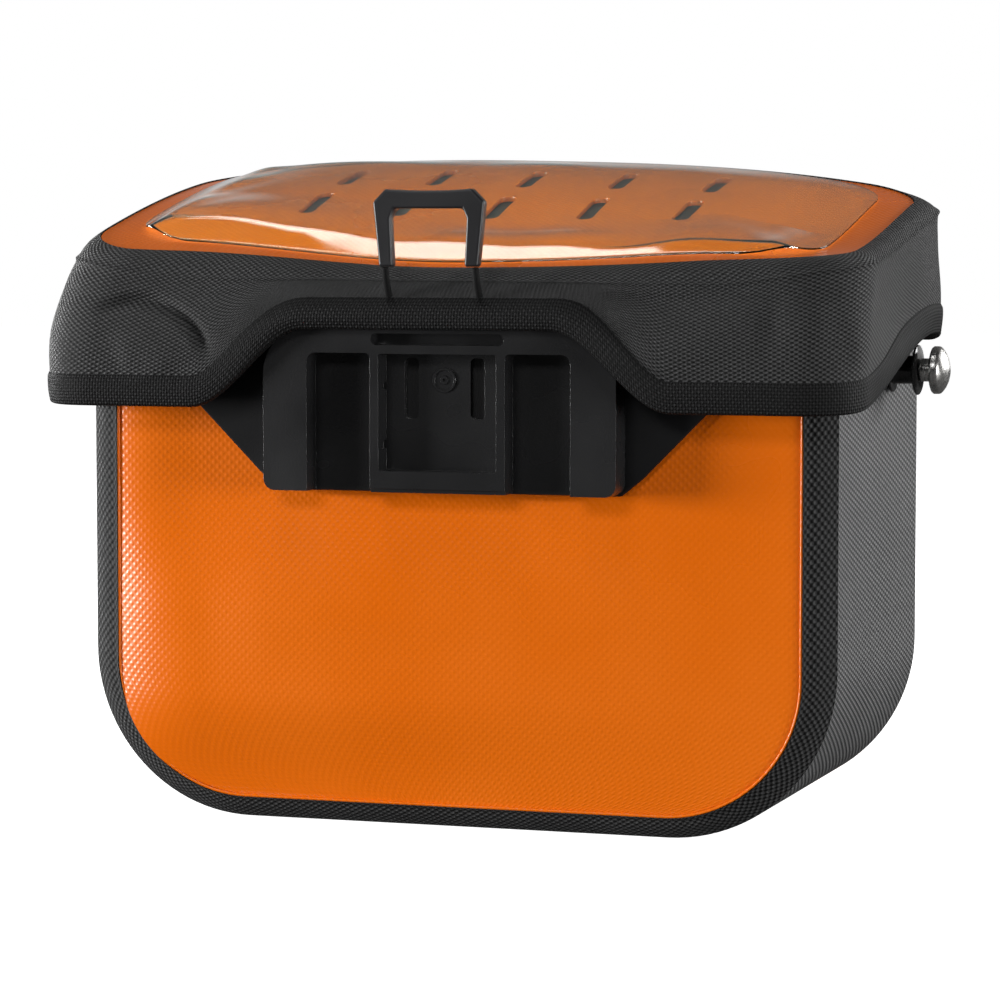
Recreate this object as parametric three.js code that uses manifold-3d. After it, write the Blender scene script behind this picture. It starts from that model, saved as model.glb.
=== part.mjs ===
// Handlebar bag for a bicycle: a boxy fabric body, a hinged lid with a map window and a pull loop,
// a moulded mount housing on the rider's side and a strap stud on each end.
// Millimetres, +Z up, +X to the right seen from the rider, +Y away from the rider.
// The model is drawn with the floor at z = 0 and the middle of the body at x = y = 0,
// and the finished group is then moved so that the middle of its box stands over the origin.
import * as THREE from "three";
import { mergeVertices } from "three/addons/utils/BufferGeometryUtils.js";
import Module from "manifold-3d";

const wasm = await Module();
wasm.setup();

// ---------------------------------------------------------------- driving dimensions
const GAP = 0.3; // between pieces that touch
const FABRIC = 1.6; // coated fabric with its lining
const seamAllowance = 0.4; // the seam borders are a little thicker than the fabric

// Body
const bodyHalfWidth = 122.5;
const bodyCornerRadius = 53; // lower corners, seen from the rider
const seamY = 55.9; // where the end fabric meets the bevelled seam border
const panelY = 60.4; // outer face of the front and back panels
const borderSide = 9.6; // width of the seam border at the sides
const borderBottom = 6.7; // and along the bottom
const rimFrontZ = 163; // top edge of the body at the front
const rimSlope = 0.14; // the mouth rises towards the back
const board = { halfX: 90, bottom: 40, innerY: 56.4, belowRim: 13 }; // stiffener boards
const mouthHoop = { halfX: 120.2, front: -58.3, rear: 58.3, radius: 16 };
const mouthStrip = { thickness: 2, top: 1, bottom: 10 }; // its edges, below the rim

// Lid
const fold = { halfX: 131.5, front: -68, rear: 66, radius: 24 }; // where top turns into skirt
const hem = { halfX: 134.5, front: -77, rear: 68, radius: 20 }; // lower edge of the skirt
const crown = { halfX: 124, front: -64, rear: 60, radius: 21 }; // edge of the orange top
const foldFrontZ = 171.2;
const foldRise = 22.1; // from front to rear
const foldBend = 1.2; // how late it rises
const foldLean = 0.008; // the soft lid sits a little lower at its right end
const foldEnd = { rise: 4.5, start: 86, length: 40 }; // the fold turns up at both ends
const crownFrontZ = 174.8; // middle of the front edge
const crownShoulder = { rise: 4.6, reach: 90 }; // the front edge rises away from the middle
const crownCornerRise = 2; // and a little more at the corners
const crownRearZ = 210;
const crownRearDrop = 8.2; // the rear edge falls towards its ends
const crownDropPower = 2.6; // how late it starts to fall
const crownLean = 0.026; // the rear edge sits lower at its right end
const crownBend = 1.45; // how soon the slope flattens towards the back
const crownLateBend = 1.7; // at the right end the slope comes late instead
const crownRightStart = 62;
const rimBandBulge = 1.6;
const rimBandThickness = 2.6;
const skirtThickness = 2.8;
const skirtPuff = 1.5;
const hemFrontZ = 132.2;
const hemRearZ = 152.5;
const hemSideStart = -45; // the side hem climbs between these two, clear of the studs
const hemSideEnd = 5;
const archRise = 24.7; // the front hem arches over the mount housing
const archInner = 45;
const archOuter = 80;
const bindingHeight = 9.2;
const bindingProud = 0.6;
const lidHinge = { y: 66.5, z: 151.5 }; // the lid turns about this line, along X
const hingeTape = { halfX: 100, height: 14, thickness: 1.5, belowHinge: 1 };

// Map window and air slots in the top
const film = { halfX: 112, front: -60, rear: 54, radius: 22 };
const filmThickness = 0.7;
const boardInset = 6;
const boardThickness = 1.2;
const sheetGap = 1.1; // between the curved sheets of the lid, whose facets don't match
const slot = { width: 5, length: 17, pitch: 31.5, columns: 5, rowsY: [-12, 22] };

// Mount housing
const housing = { halfX: 57.5, bottom: 105.8, top: 156.3, face: -72.9, corner: 14 };
const basePlateThickness = 2;
const basePlateRight = [
  [56, 105.4],
  [63, 111],
  [83, 131],
  [92, 136],
  [92, 150],
  [84, 158],
]; // outline of the right half, [x, z]; the left half mirrors it
const channel = { inner: 22, outer: 43, top: 148.9, floor: -65 };
const recess = { halfX: 19.2, bottom: 112.4, top: 148.7, floor: -65.6 };
const topSlot = { halfX: 21.7, bottom: 151.4, top: 155, floor: -67 };
const blindSlot = { x: 10.8, width: 4.6, bottom: 128.4, top: 147.4, depth: 1.3 };
const mouldRing = { z: 140.5, outer: 3.9, inner: 3.1, height: 0.5 };
const screw = { x: 50, z: [115, 141], shank: 1.8, head: 4, headHeight: 2.2, reach: 69 };

// Strap studs
const stud = { y: 15, z: 142.5, bore: 2.3, boss: 4.5, flange: 8, neck: 3.7, head: 7.6, nut: 7.5 };

// Pull loop
const grip = { width: 36, top: 199.3, bottom: 175.6, bar: 6, leg: 5.4, depth: 4, y: -78.8 };
const gripChamfer = 4;
const gripTaper = { outside: 2, inside: 0.6 }; // how much each leg narrows towards its foot
const cordX = 14.6;
const cordRadius = 1.1;
const cordFoot = { y: -75.2, z: 166.6 };

// Magnets that hold the lid shut
const magnet = { x: 100, z: 147, radius: 6, thickness: 2.4, lidGap: 2.2 };

// ---------------------------------------------------------------- materials
function material(color, roughness, metalness = 0, opacity = 1) {
  return new THREE.MeshStandardMaterial({
    color,
    roughness,
    metalness,
    opacity,
    transparent: opacity < 1,
  });
}
const orangeFabric = material(0xe88a00, 0.42);
const blackFabric = material(0x2b2c2e, 0.8);
const greyFabric = material(0x7b7b7c, 0.8);
const boardPlastic = material(0x1b1b1c, 0.6);
const mouldedPlastic = material(0x333436, 0.55);
const glossPlastic = material(0x161617, 0.35);
const clearFilm = material(0xf4f4f4, 0.08, 0, 0.35);
const darkSteel = material(0x6f6f70, 0.25, 1);
const cordBlack = material(0x19191a, 0.7);
const magnetSteel = material(0xb4b4b4, 0.3, 1);

// ---------------------------------------------------------------- geometry tools
const V = (x, y, z) => new THREE.Vector3(x, y, z);
const mix = THREE.MathUtils.lerp;
const smooth = (t) => THREE.MathUtils.smoothstep(t, 0, 1);

function geometryOf(positions, index) {
  const geometry = new THREE.BufferGeometry();
  geometry.setAttribute("position", new THREE.Float32BufferAttribute(positions, 3));
  geometry.setIndex(index);
  return geometry;
}

// Solid through a row of polygons with equal numbers of points, capped unless it closes on itself.
function loft(sections, closed = false) {
  const count = sections.length;
  const sides = sections[0].length;
  const positions = sections.flat().flatMap((p) => [p.x, p.y, p.z]);
  const index = [];
  const spans = closed ? count : count - 1;
  for (let i = 0; i < spans; i++) {
    const next = (i + 1) % count;
    for (let j = 0; j < sides; j++) {
      const k = (j + 1) % sides;
      index.push(i * sides + j, next * sides + j, i * sides + k);
      index.push(i * sides + k, next * sides + j, next * sides + k);
    }
  }
  if (!closed) {
    const last = (count - 1) * sides;
    for (let j = 1; j < sides - 1; j++) {
      index.push(0, j, j + 1);
      index.push(last, last + j + 1, last + j);
    }
  }
  return facingOut(geometryOf(positions, index));
}

// Turns the faces round if the enclosed volume comes out negative.
function facingOut(geometry) {
  const p = geometry.getAttribute("position");
  const index = geometry.getIndex().array;
  const corner = (n) => new THREE.Vector3().fromBufferAttribute(p, index[n]);
  let volume = 0;
  for (let i = 0; i < index.length; i += 3) {
    volume += corner(i).dot(corner(i + 1).cross(corner(i + 2)));
  }
  if (volume < 0) {
    for (let i = 0; i < index.length; i += 3) {
      [index[i + 1], index[i + 2]] = [index[i + 2], index[i + 1]];
    }
  }
  return geometry;
}

// Solid between loops: the loops are the corners of the section, in order.
function ring(...loops) {
  return loft(
    loops[0].map((_, i) => loops.map((loop) => loop[i])),
    true,
  );
}

function toManifold(geometry) {
  const bare = geometry.clone();
  bare.deleteAttribute("normal");
  bare.deleteAttribute("uv");
  const merged = mergeVertices(bare, 1e-4);
  return new wasm.Manifold(
    new wasm.Mesh({
      numProp: 3,
      vertProperties: merged.getAttribute("position").array,
      triVerts: new Uint32Array(merged.getIndex().array),
    }),
  );
}

function toGeometry(solid) {
  const made = solid.getMesh();
  return geometryOf(made.vertProperties, [...made.triVerts]);
}

function cut(geometry, ...tools) {
  let solid = toManifold(geometry);
  for (const tool of tools) solid = solid.subtract(toManifold(tool));
  return toGeometry(solid);
}

function join(geometry, ...others) {
  let solid = toManifold(geometry);
  for (const other of others) solid = solid.add(toManifold(other));
  return toGeometry(solid);
}

function box(x0, x1, y0, y1, z0, z1) {
  const geometry = new THREE.BoxGeometry(x1 - x0, y1 - y0, z1 - z0);
  return geometry.translate((x0 + x1) / 2, (y0 + y1) / 2, (z0 + z1) / 2);
}

// Cylinder along Y.
function rod(x, z, radius, y0, y1, sides = 20) {
  const geometry = new THREE.CylinderGeometry(radius, radius, y1 - y0, sides);
  return geometry.translate(0, (y0 + y1) / 2, 0).translate(x, 0, z);
}

// Turned piece along X: the profile gives [distance from the body's end face, radius].
function turned(profile, side, sides = 20) {
  const points = profile.map(([along, radius]) => new THREE.Vector2(radius, along));
  const geometry = new THREE.LatheGeometry(points, sides);
  geometry.rotateZ(-side * (Math.PI / 2));
  return geometry.translate(side * bodyHalfWidth, stud.y, stud.z);
}

// Outline given as [x, z] points, made y1 - y0 thick along Y.
function plateY(outline, y0, y1) {
  const shape = new THREE.Shape(outline.map(([x, z]) => new THREE.Vector2(x, z)));
  const geometry = new THREE.ExtrudeGeometry(shape, { depth: y1 - y0, bevelEnabled: false });
  return geometry.rotateX(Math.PI / 2).translate(0, y1, 0);
}

// ---------------------------------------------------------------- outlines
// Rounded rectangle seen from above, as points with their outward directions.
const cornerSteps = 5;
const stepsAcross = 30;
const stepsAlong = 10;

function planLoop({ halfX, front, rear, radius }, grow = 0) {
  const reach = halfX - radius;
  const corners = [
    [reach, rear - radius],
    [-reach, rear - radius],
    [-reach, front + radius],
    [reach, front + radius],
  ];
  const loop = [];
  corners.forEach(([cx, cy], quarter) => {
    for (let k = 0; k <= cornerSteps; k++) {
      const angle = ((quarter + k / cornerSteps) * Math.PI) / 2;
      const nx = Math.cos(angle);
      const ny = Math.sin(angle);
      loop.push({ x: cx + (radius + grow) * nx, y: cy + (radius + grow) * ny, nx, ny });
    }
    const from = loop[loop.length - 1];
    const [ex, ey] = corners[(quarter + 1) % 4];
    const to = { x: ex + (radius + grow) * from.nx, y: ey + (radius + grow) * from.ny };
    const steps = quarter % 2 ? stepsAlong : stepsAcross;
    for (let k = 1; k < steps; k++) {
      loop.push({ ...from, x: mix(from.x, to.x, k / steps), y: mix(from.y, to.y, k / steps) });
    }
  });
  return loop;
}

// U-shaped outline seen from the rider: down the left side, along the bottom, up the right side.
const uCornerSteps = 9;

function uPath(halfWidth, radius, bottom, inset = 0) {
  const path = [];
  const r = radius - inset;
  const side = (sign) => ({ x: sign * (halfWidth - inset), z: null });
  path.push(side(-1));
  for (const sign of [-1, 1]) {
    for (let k = 0; k <= uCornerSteps; k++) {
      const turn = (k / uCornerSteps) * (Math.PI / 2);
      const angle = sign < 0 ? turn : Math.PI / 2 - turn;
      path.push({
        x: sign * (halfWidth - radius + r * Math.cos(angle)),
        z: bottom + radius - r * Math.sin(angle),
      });
    }
  }
  path.push(side(1));
  return path;
}

const rimZ = (y) => rimFrontZ + rimSlope * (y + panelY);
const at = (p, y) => V(p.x, y, p.z === null ? rimZ(y) : p.z);

// ---------------------------------------------------------------- body
const seamOutline = uPath(bodyHalfWidth, bodyCornerRadius, 0);
const seamInner = uPath(bodyHalfWidth, bodyCornerRadius, 0, FABRIC + seamAllowance);
const panelHalfWidth = bodyHalfWidth - borderSide;
const panelRadius = bodyCornerRadius - borderSide;
const panelOutline = uPath(panelHalfWidth, panelRadius, borderBottom);

function gusset() {
  const inner = uPath(bodyHalfWidth, bodyCornerRadius, 0, FABRIC);
  const y = seamY - GAP;
  return loft(
    seamOutline.map((p, i) => [at(p, -y), at(p, y), at(inner[i], y), at(inner[i], -y)]),
  );
}

// Bevelled band of folded fabric between an end panel and the gusset; side is -1 front, 1 back.
function seamBorder(side) {
  const panelEdge = uPath(panelHalfWidth + GAP, panelRadius + GAP, borderBottom - GAP);
  const face = side * panelY;
  return loft(
    seamOutline.map((p, i) => [
      at(p, side * seamY),
      at(panelEdge[i], face),
      at(panelEdge[i], face - side * FABRIC),
      at(seamInner[i], side * seamY),
    ]),
  );
}

function endPanel(side, ...holes) {
  const face = side * panelY;
  const inner = face - side * FABRIC;
  const y0 = Math.min(face, inner);
  const y1 = Math.max(face, inner);
  const outline = panelOutline.map((p) => [p.x, p.z === null ? rimZ(face) : p.z]);
  return cut(plateY(outline, y0, y1), ...holes);
}

function stiffenerBoard(side, ...holes) {
  const outer = side * (panelY - FABRIC - GAP);
  const inner = side * board.innerY;
  const y0 = Math.min(outer, inner);
  const y1 = Math.max(outer, inner);
  const solid = box(-board.halfX, board.halfX, y0, y1, board.bottom, rimZ(outer) - board.belowRim);
  return holes.length ? cut(solid, ...holes) : solid;
}

// Hoop of plastic strip that keeps the mouth open.
function rimFrame() {
  const { thickness, top, bottom } = mouthStrip;
  const outer = planLoop(mouthHoop);
  const inner = planLoop(mouthHoop, -thickness);
  const level = (loop, drop) => loop.map((p) => V(p.x, p.y, rimZ(p.y) - drop));
  return ring(level(outer, top), level(outer, bottom), level(inner, bottom), level(inner, top));
}

// Doubled fabric welded to the back panel, just below the line on which the lid turns.
function hingeStrip() {
  const { halfX, height, thickness, belowHinge } = hingeTape;
  const y = panelY + GAP;
  const top = lidHinge.z - belowHinge;
  return box(-halfX, halfX, y, y + thickness, top - height, top);
}

// ---------------------------------------------------------------- mount
const plateBackY = -panelY - GAP;
const plateFrontY = plateBackY - basePlateThickness;
const housingBackY = plateFrontY - GAP;
const screwPlaces = [-1, 1].flatMap((side) => screw.z.map((z) => [side * screw.x, z]));

function screwHoles(y0, y1, clearance) {
  return screwPlaces.map(([x, z]) => rod(x, z, screw.shank + clearance, y0, y1));
}

function basePlate() {
  const left = basePlateRight.map(([x, z]) => [-x, z]).reverse();
  const plate = plateY([...basePlateRight, ...left], plateFrontY, plateBackY);
  return cut(plate, ...screwHoles(plateFrontY - 1, plateBackY + 1, GAP));
}

function housingBody() {
  const { halfX, bottom, top, corner } = housing;
  const arc = [];
  const steps = 6;
  for (let k = 0; k <= steps; k++) {
    const angle = (k / steps) * (Math.PI / 2);
    arc.push([
      halfX - corner + corner * Math.cos(angle),
      top - corner + corner * Math.sin(angle),
    ]);
  }
  const outline = [
    [-halfX, bottom],
    [halfX, bottom],
    ...arc,
    ...arc.map(([x, z]) => [-x, z]).reverse(),
  ];
  return plateY(outline, housing.face, housingBackY);
}

function mountHousing() {
  const front = housing.face - 5; // the cutting tools start clear of the face
  const slots = [-1, 1].map((side) => {
    const x = side * blindSlot.x;
    const w = blindSlot.width / 2;
    const floor = recess.floor + blindSlot.depth;
    return box(x - w, x + w, front, floor, blindSlot.bottom, blindSlot.top);
  });
  const channels = [-1, 1].map((side) => {
    const x0 = Math.min(side * channel.inner, side * channel.outer);
    const x1 = Math.max(side * channel.inner, side * channel.outer);
    return box(x0, x1, front, channel.floor, housing.bottom - 5, channel.top);
  });
  const body = cut(
    housingBody(),
    box(-recess.halfX, recess.halfX, front, recess.floor, recess.bottom, recess.top),
    box(-topSlot.halfX, topSlot.halfX, front, topSlot.floor, topSlot.bottom, topSlot.top),
    ...slots,
    ...channels,
    ...screwHoles(-screw.reach - GAP, housingBackY + 1, GAP),
  );
  const { z, outer, inner, height } = mouldRing;
  const boss = rod(0, z, outer, recess.floor - height, recess.floor + 1);
  const bore = rod(0, z, inner, recess.floor - 2 * height, recess.floor - 0.01);
  return join(body, cut(boss, bore));
}

function mountScrew([x, z]) {
  const seat = GAP - board.innerY;
  const shank = rod(x, z, screw.shank, -screw.reach, seat + 0.5);
  const head = rod(x, z, screw.head, seat, seat + screw.headHeight);
  return join(shank, head);
}

// ---------------------------------------------------------------- strap studs
const studWall = FABRIC + GAP;

function studBase(side) {
  return turned(
    [
      [GAP, stud.bore],
      [GAP, 7],
      [1.4, 7],
      [1.4, stud.boss],
      [8.4, stud.boss],
      [8.4, stud.flange],
      [9.8, stud.flange],
      [9.8, stud.bore],
      [GAP, stud.bore],
    ],
    side,
  );
}

function strapStud(side) {
  return turned(
    [
      [-studWall - 4, 0],
      [-studWall - 4, 2],
      [10.1, 2],
      [10.1, stud.neck],
      [13.6, stud.neck],
      [13.6, 6.6],
      [14.4, stud.head],
      [16.2, stud.head],
      [18, 6.2],
      [19.1, 3.4],
      [19.4, 0],
    ],
    side,
  );
}

function studNut(side) {
  const inner = -studWall - 2.2;
  return turned(
    [
      [inner, stud.bore],
      [inner, stud.nut],
      [-studWall, stud.nut],
      [-studWall, stud.bore],
      [inner, stud.bore],
    ],
    side,
  );
}

function studHole(side) {
  const bore = new THREE.CylinderGeometry(stud.bore, stud.bore, 12, 24);
  return bore.rotateZ(Math.PI / 2).translate(side * bodyHalfWidth, stud.y, stud.z);
}

// ---------------------------------------------------------------- lid
const shareAlong = (y, { front, rear }) =>
  THREE.MathUtils.clamp((y - front) / (rear - front), 0, 1);

function foldZ(x, y) {
  const end = foldEnd.rise * smooth((Math.abs(x) - foldEnd.start) / foldEnd.length);
  return foldFrontZ + foldRise * shareAlong(y, fold) ** foldBend - foldLean * x + end;
}

function crownZ(x, y) {
  const across = Math.abs(x) / crown.halfX;
  const along = shareAlong(y, crown);
  const shoulder = crownShoulder.rise * smooth(Math.abs(x) / crownShoulder.reach);
  const front = crownFrontZ + shoulder + crownCornerRise * across ** 4;
  const rear = crownRearZ - crownRearDrop * across ** crownDropPower - crownLean * x;
  const early = 1 - (1 - along) ** crownBend;
  const late = (smooth(along) + along ** crownLateBend) / 2;
  const rightEnd = smooth((x - crownRightStart) / (crown.halfX - crownRightStart));
  return mix(front, rear, mix(early, late, rightEnd));
}

function hemZ(x, y) {
  const side = smooth((y - hemSideStart) / (hemSideEnd - hemSideStart));
  const arch = y < hemSideStart ? smooth((archOuter - Math.abs(x)) / (archOuter - archInner)) : 0;
  return hemFrontZ + archRise * arch + (hemRearZ - hemFrontZ) * side;
}

const foldLoop = planLoop(fold);
const hemLoop = planLoop(hem);

// Point of the skirt at loop place i, a share of the way from fold to hem, set in by some depth.
function skirtPoint(i, share, depth, proud = 0) {
  const a = foldLoop[i];
  const b = hemLoop[i];
  const out = 1 - (1 - share) ** 2;
  const offset = skirtPuff * Math.sin(Math.PI * share) - depth + proud;
  return V(
    mix(a.x, b.x, out) + b.nx * offset,
    mix(a.y, b.y, out) + b.ny * offset,
    mix(foldZ(a.x, a.y), hemZ(b.x, b.y), share),
  );
}

// Share of the skirt's height at which the hem binding begins.
function bindingShare(i) {
  const top = foldZ(foldLoop[i].x, foldLoop[i].y);
  return 1 - bindingHeight / (top - hemZ(hemLoop[i].x, hemLoop[i].y));
}

function lidSkirt() {
  const loops = [];
  const levels = [0, 0.35, 0.7, 1];
  const gapShare = 0.015;
  const shareAt = (i, level) => gapShare + level * (bindingShare(i) - 3 * gapShare);
  const loopAt = (level, depth) => hemLoop.map((_, i) => skirtPoint(i, shareAt(i, level), depth));
  for (const level of levels) loops.push(loopAt(level, 0));
  for (const level of [...levels].reverse()) loops.push(loopAt(level, skirtThickness));
  return ring(...loops);
}

function hemBinding() {
  const loopAt = (level, depth, proud) =>
    hemLoop.map((_, i) => skirtPoint(i, mix(bindingShare(i), 1, level), depth, proud));
  return ring(
    loopAt(0, 0, bindingProud),
    loopAt(1, 0, bindingProud),
    loopAt(1, skirtThickness, 0),
    loopAt(0, skirtThickness, 0),
  );
}

function rimBand() {
  const edge = planLoop(crown, GAP);
  const inner = planLoop(fold, -3);
  const top = edge.map((p) => V(p.x, p.y, crownZ(p.x, p.y)));
  const outerFold = foldLoop.map((p) => V(p.x, p.y, foldZ(p.x, p.y) + GAP));
  const innerFold = inner.map((p) => V(p.x, p.y, foldZ(p.x, p.y) + GAP));
  const between = (a, b, share) => V().lerpVectors(a, b, share);
  const bulge = top.map((p, i) => {
    const { nx, ny } = foldLoop[i];
    const point = between(outerFold[i], p, 0.5);
    return point.add(V(nx * rimBandBulge, ny * rimBandBulge, 0));
  });
  const under = top.map((p, i) => {
    const point = between(p, innerFold[i], 0.2);
    return V(point.x, point.y, p.z - rimBandThickness);
  });
  return ring(outerFold, bulge, top, under, innerFold);
}

// Sheet that follows the crowned top, from `lift` above it and `thickness` down.
function crownSheet(outline, lift, thickness) {
  const shares = [0.25, 0.5, 0.75, 1];
  const loop = planLoop(outline);
  const middle = (outline.front + outline.rear) / 2;
  const level = (share, drop) =>
    loop.map((p) => {
      const x = p.x * share;
      const y = middle + (p.y - middle) * share;
      return V(x, y, crownZ(x, y) + lift - drop);
    });
  return loft([
    ...shares.map((share) => level(share, thickness)),
    ...[...shares].reverse().map((share) => level(share, 0)),
  ]);
}

function airSlots() {
  const tools = [];
  for (const y of slot.rowsY) {
    for (let column = 0; column < slot.columns; column++) {
      const x = (column - (slot.columns - 1) / 2) * slot.pitch;
      const half = slot.width / 2;
      const outline = new THREE.Shape();
      outline.absarc(0, slot.length / 2 - half, half, 0, Math.PI);
      outline.absarc(0, half - slot.length / 2, half, Math.PI, 2 * Math.PI);
      const settings = { depth: 30, bevelEnabled: false, curveSegments: 4 };
      const tool = new THREE.ExtrudeGeometry(outline, settings);
      tools.push(tool.translate(x, y, crownZ(x, y) - settings.depth / 2));
    }
  }
  return tools;
}

function insetOutline(outline, by) {
  return {
    halfX: outline.halfX - by,
    front: outline.front + by,
    rear: outline.rear - by,
    radius: Math.max(outline.radius - by, 8),
  };
}

// ---------------------------------------------------------------- pull loop
function pullGrip() {
  const { width, top, bottom, bar, leg, depth, y } = grip;
  const half = width / 2;
  const foot = half - gripTaper.outside;
  const inside = half - leg - gripTaper.inside;
  const outline = [
    [-foot, bottom],
    [leg - foot, bottom],
    [-inside, top - bar],
    [inside, top - bar],
    [foot - leg, bottom],
    [foot, bottom],
    [half, top - gripChamfer],
    [half - gripChamfer, top],
    [gripChamfer - half, top],
    [-half, top - gripChamfer],
  ];
  return plateY(outline, y - depth / 2, y + depth / 2);
}

function pullCord(side) {
  const foot = V(side * cordX, cordFoot.y, cordFoot.z);
  const head = V(side * cordX, grip.y, grip.bottom - GAP);
  const sides = 8;
  const section = (p) => {
    const points = [];
    for (let k = 0; k < sides; k++) {
      const angle = (k / sides) * 2 * Math.PI;
      points.push(V(p.x + cordRadius * Math.cos(angle), p.y + cordRadius * Math.sin(angle), p.z));
    }
    return points;
  };
  const bow = V(foot.x, mix(foot.y, head.y, 0.75), mix(foot.z, head.z, 0.45));
  return loft([section(foot), section(bow), section(head)]);
}

function disc(side, y0, y1) {
  return rod(side * magnet.x, magnet.z, magnet.radius, y0, y1, 24);
}

// ---------------------------------------------------------------- assembly
const group = new THREE.Group();

function place(parent, name, geometry, surface) {
  const mesh = new THREE.Mesh(geometry, surface);
  mesh.name = name;
  geometry.computeVertexNormals();
  parent.add(mesh);
}

const body = new THREE.Group();
const panelHoles = screwHoles(-panelY - 2, 2 - board.innerY, GAP);
place(body, "front_panel", endPanel(-1, ...panelHoles), orangeFabric);
place(body, "back_panel", endPanel(1), orangeFabric);
place(body, "gusset", cut(gusset(), studHole(-1), studHole(1)), greyFabric);
place(body, "front_seam_border", seamBorder(-1), blackFabric);
place(body, "back_seam_border", seamBorder(1), blackFabric);
place(body, "rim_frame", rimFrame(), boardPlastic);
place(body, "front_stiffener_board", stiffenerBoard(-1, ...panelHoles), boardPlastic);
place(body, "back_stiffener_board", stiffenerBoard(1), boardPlastic);
place(body, "mount_base_plate", basePlate(), mouldedPlastic);
place(body, "mount_housing", mountHousing(), mouldedPlastic);
screwPlaces.forEach((where, n) => {
  place(body, `mount_screw_${n + 1}`, mountScrew(where), darkSteel);
});
for (const [word, side] of [["left", -1], ["right", 1]]) {
  place(body, `strap_stud_base_${word}`, studBase(side), glossPlastic);
  place(body, `strap_stud_${word}`, strapStud(side), darkSteel);
  place(body, `strap_stud_nut_${word}`, studNut(side), darkSteel);
  const wall = -panelY + FABRIC + GAP;
  place(body, `body_magnet_${word}`, disc(side, wall, wall + magnet.thickness), magnetSteel);
}
place(body, "hinge_strip", hingeStrip(), blackFabric);

const lid = new THREE.Group();
place(lid, "lid_top_panel", cut(crownSheet(crown, 0, FABRIC), ...airSlots()), orangeFabric);
const boardOutline = insetOutline(crown, boardInset);
const boardLift = -FABRIC - sheetGap;
place(lid, "lid_stiffener_board", crownSheet(boardOutline, boardLift, boardThickness), boardPlastic);
place(lid, "window_film", crownSheet(film, sheetGap + filmThickness, filmThickness), clearFilm);
place(lid, "lid_rim_band", rimBand(), blackFabric);
place(lid, "lid_skirt", lidSkirt(), blackFabric);
place(lid, "lid_hem_binding", hemBinding(), blackFabric);
for (const [word, side] of [["left", -1], ["right", 1]]) {
  const wall = hem.front + skirtThickness + magnet.lidGap;
  place(lid, `lid_magnet_${word}`, disc(side, wall, wall + magnet.thickness), magnetSteel);
}

const pull = new THREE.Group();
place(pull, "pull_grip", pullGrip(), glossPlastic);
place(pull, "pull_cord_left", pullCord(-1), cordBlack);
place(pull, "pull_cord_right", pullCord(1), cordBlack);

group.add(body, lid, pull);
const extent = new THREE.Box3().setFromObject(group);
const middle = extent.getCenter(new THREE.Vector3());
group.position.set(-middle.x, -middle.y, -extent.min.z);

export default group;
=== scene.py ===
"""Handlebar bag with a quick-release mount housing, a map window and a hinged lid.

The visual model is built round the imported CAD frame. Shapes are drawn in millimetres with the
middle of the body at x = y = 0 and the floor at z = 0, and are moved into the frame when their
mesh is made. +X is to the right seen from the mount housing and +Y points away from it.
"""

import math

import bmesh
import bpy
import numpy as np
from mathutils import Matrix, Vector


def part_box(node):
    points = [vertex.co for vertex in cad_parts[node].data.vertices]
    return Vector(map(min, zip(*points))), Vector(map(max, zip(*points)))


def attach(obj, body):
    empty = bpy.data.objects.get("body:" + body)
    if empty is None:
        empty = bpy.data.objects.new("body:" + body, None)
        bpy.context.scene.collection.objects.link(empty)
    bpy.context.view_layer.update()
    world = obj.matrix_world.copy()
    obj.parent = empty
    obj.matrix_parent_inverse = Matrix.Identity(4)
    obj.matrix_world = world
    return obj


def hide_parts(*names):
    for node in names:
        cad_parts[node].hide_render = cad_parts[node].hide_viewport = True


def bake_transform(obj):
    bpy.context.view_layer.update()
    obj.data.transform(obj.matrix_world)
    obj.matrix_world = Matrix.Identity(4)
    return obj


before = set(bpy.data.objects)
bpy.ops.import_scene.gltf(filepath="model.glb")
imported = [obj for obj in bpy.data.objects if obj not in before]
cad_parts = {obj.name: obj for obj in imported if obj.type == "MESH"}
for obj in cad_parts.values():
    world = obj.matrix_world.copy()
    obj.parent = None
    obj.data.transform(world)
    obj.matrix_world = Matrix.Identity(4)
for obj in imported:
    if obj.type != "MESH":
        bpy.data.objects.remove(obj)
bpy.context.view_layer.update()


def span(node):
    """Lowest and highest corner of a CAD node, in drawing millimetres."""
    low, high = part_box(node)
    offset = np.array([0.0, middle_y, 0.0])
    return np.array(low) * 1000 - offset, np.array(high) * 1000 - offset


gusset_low, gusset_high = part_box("gusset")
middle_y = 500 * (gusset_low.y + gusset_high.y)

# ------------------------------------------------------------------ driving dimensions, mm
GAP = 0.3
FABRIC = 1.6
BODY_HALF = span("gusset")[1][0]
SEAM_Y = span("gusset")[1][1] + GAP
panel_low, panel_high = span("front_panel")
PANEL_Y = -panel_low[1]
PANEL_HALF = panel_high[0]
PANEL_BOTTOM = panel_low[2]
BODY_CORNER = 53.0
BORDER_SIDE = BODY_HALF - PANEL_HALF
RIM_FRONT_Z = panel_high[2]
RIM_SLOPE = 0.14  # the body's rim climbs to the rear
U_STRAIGHT = 40  # steps down each straight side of the body's outline

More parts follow.
